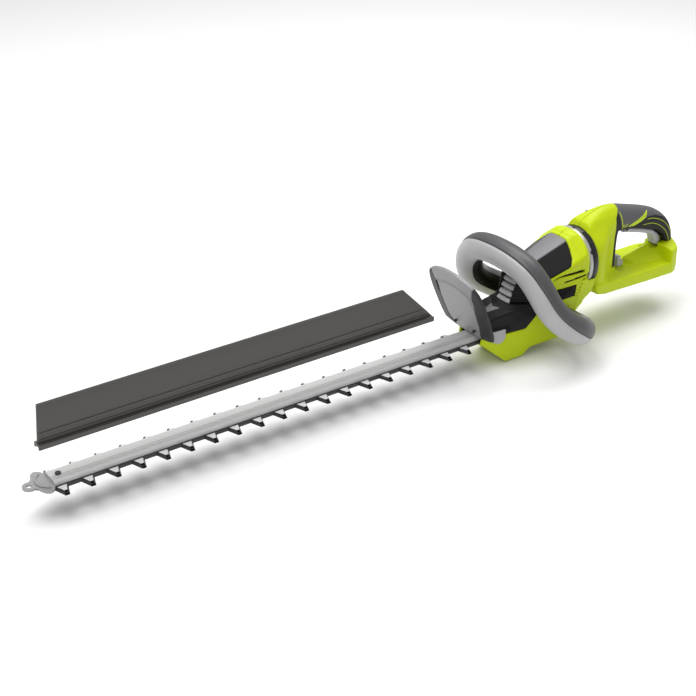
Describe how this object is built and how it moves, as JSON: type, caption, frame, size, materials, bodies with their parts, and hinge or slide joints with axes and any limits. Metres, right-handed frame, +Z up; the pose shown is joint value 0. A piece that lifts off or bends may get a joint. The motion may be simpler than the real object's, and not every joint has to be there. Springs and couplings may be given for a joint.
{
  "type": "hedge trimmer",
  "caption": "Cordless hedge trimmer with a long two-sided toothed blade, front guard, wrap-around front handle, turning rear handle and a clip-on debris sweep.",
  "frame": {"origin": "middle of the flat foot under the motor housing, on which the tool rests", "axes": "+X along the tool from the blade towards the rear handle, +Y the operator's right, +Z up"},
  "size_m": [1.04, 0.2336, 0.1794],
  "materials": {
    "ground_steel": "ground along the blade, bright bevels",
    "anodised_rail": "clear anodised extrusion",
    "machined_steel": "machined",
    "cast_tip": "die cast, satin",
    "guard_grey": "semi-gloss moulded",
    "dark_cover": "fine moulded texture",
    "green_housing": "semi-gloss moulded",
    "cast_case": "die cast",
    "light_grey": "semi-gloss moulded",
    "black_plastic": "fine moulded texture",
    "satin_collar": "silvered moulding",
    "grip_rubber": "overmoulded soft grip",
    "sweep_grey": "extruded, satin",
    "copper": "bare contact metal",
    "laminations": "stacked steel",
    "lead_sleeve": "smooth sleeve"
  },
  "bodies": {
    "front_body": {"blade_guide_rail": "anodised_rail", "blade_bolts": "machined_steel", "tip_protector": "cast_tip", "tip_screw": "machined_steel", "front_guard": "guard_grey", "guard_screws": "machined_steel", "guard_lugs": "guard_grey", "gear_cover": "dark_cover", "gear_case_base": "cast_case", "gear_case_cover": "cast_case", "gear_case_screws": "machined_steel", "crank_bearings": "machined_steel", "motor_can": "machined_steel", "motor_magnets": "laminations", "motor_end_cap": "black_plastic", "motor_brushes": "copper", "motor_bearings": "machined_steel", "left_motor_housing": "green_housing", "right_motor_housing": "green_housing", "top_cover": "dark_cover", "nose_louvres": "dark_cover", "badge_plate": "black_plastic", "motor_housing_screws": "machined_steel", "swivel_sleeve": "black_plastic", "swivel_collar": "satin_collar", "bail_front_shell": "light_grey", "bail_rear_shell": "dark_cover", "front_microswitch": "black_plastic", "motor_leads": "lead_sleeve"},
    "upper_blade": {"upper_blade": "ground_steel"},
    "lower_blade": {"lower_blade": "ground_steel"},
    "crank": {"crank_gear": "machined_steel", "crank_shaft": "machined_steel"},
    "rotor": {"rotor_core": "laminations", "commutator": "copper", "motor_shaft": "machined_steel", "pinion_gear": "machined_steel", "cooling_fan": "black_plastic"},
    "rear_handle": {"left_rear_housing": "green_housing", "right_rear_housing": "green_housing", "grip_overmould": "grip_rubber", "knurled_ring": "black_plastic", "trigger_pin": "machined_steel", "rear_switch": "black_plastic", "terminal_block": "black_plastic", "terminal_contacts": "copper", "rear_housing_screws": "machined_steel", "switch_leads": "lead_sleeve"},
    "rear_trigger": {"rear_trigger": "light_grey"},
    "swivel_lock": {"swivel_lock": "light_grey"},
    "front_switch": {"front_switch_bar": "black_plastic"},
    "debris_sweep": {"sweep_plate": "sweep_grey", "sweep_clip": "sweep_grey"}
  },
  "joints": [
    {"name": "upper_blade_slide", "type": "slide", "parent": "front_body", "child": "upper_blade", "axis": [1, 0, 0], "range_m": [-0.009, 0.009]},
    {"name": "lower_blade_slide", "type": "slide", "parent": "front_body", "child": "lower_blade", "axis": [1, 0, 0], "range_m": [-0.009, 0.009]},
    {"name": "crank_spin", "type": "hinge", "parent": "front_body", "child": "crank", "pos_m": [0.03, 0, 0.062], "axis": [0, 0, 1], "continuous": true},
    {"name": "motor_spin", "type": "hinge", "parent": "front_body", "child": "rotor", "pos_m": [0.059, 0, 0.1], "axis": [0, 0, 1], "continuous": true},
    {"name": "handle_rotation", "type": "hinge", "parent": "front_body", "child": "rear_handle", "pos_m": [0.134, 0, 0.1139], "axis": [1, 0, 0], "range_deg": [-90, 90]},
    {"name": "trigger_press", "type": "hinge", "parent": "rear_handle", "child": "rear_trigger", "pos_m": [0.2265, 0, 0.1336], "axis": [0, -1, 0], "range_deg": [0, 5], "stiffness_Nm_per_rad": 1.2, "springref_deg": -8.59},
    {"name": "swivel_lock_slide", "type": "slide", "parent": "rear_handle", "child": "swivel_lock", "axis": [1, 0, 0], "range_m": [0, 0.005], "stiffness_N_per_m": 1200, "springref_m": -0.003},
    {"name": "front_switch_press", "type": "slide", "parent": "front_body", "child": "front_switch", "axis": [0, 0, 1], "range_m": [0, 0.003], "stiffness_N_per_m": 1500, "springref_m": -0.002},
    {"name": "debris_sweep_slide", "type": "slide", "parent": "front_body", "child": "debris_sweep", "axis": [0, 0, 1], "range_m": [-0.039, 0]}
  ],
  "couplings": [
    {"joint": "lower_blade_slide", "follows": "upper_blade_slide", "ratio": -1},
    {"joint": "motor_spin", "follows": "crank_spin", "ratio": -3.4615}
  ]
}
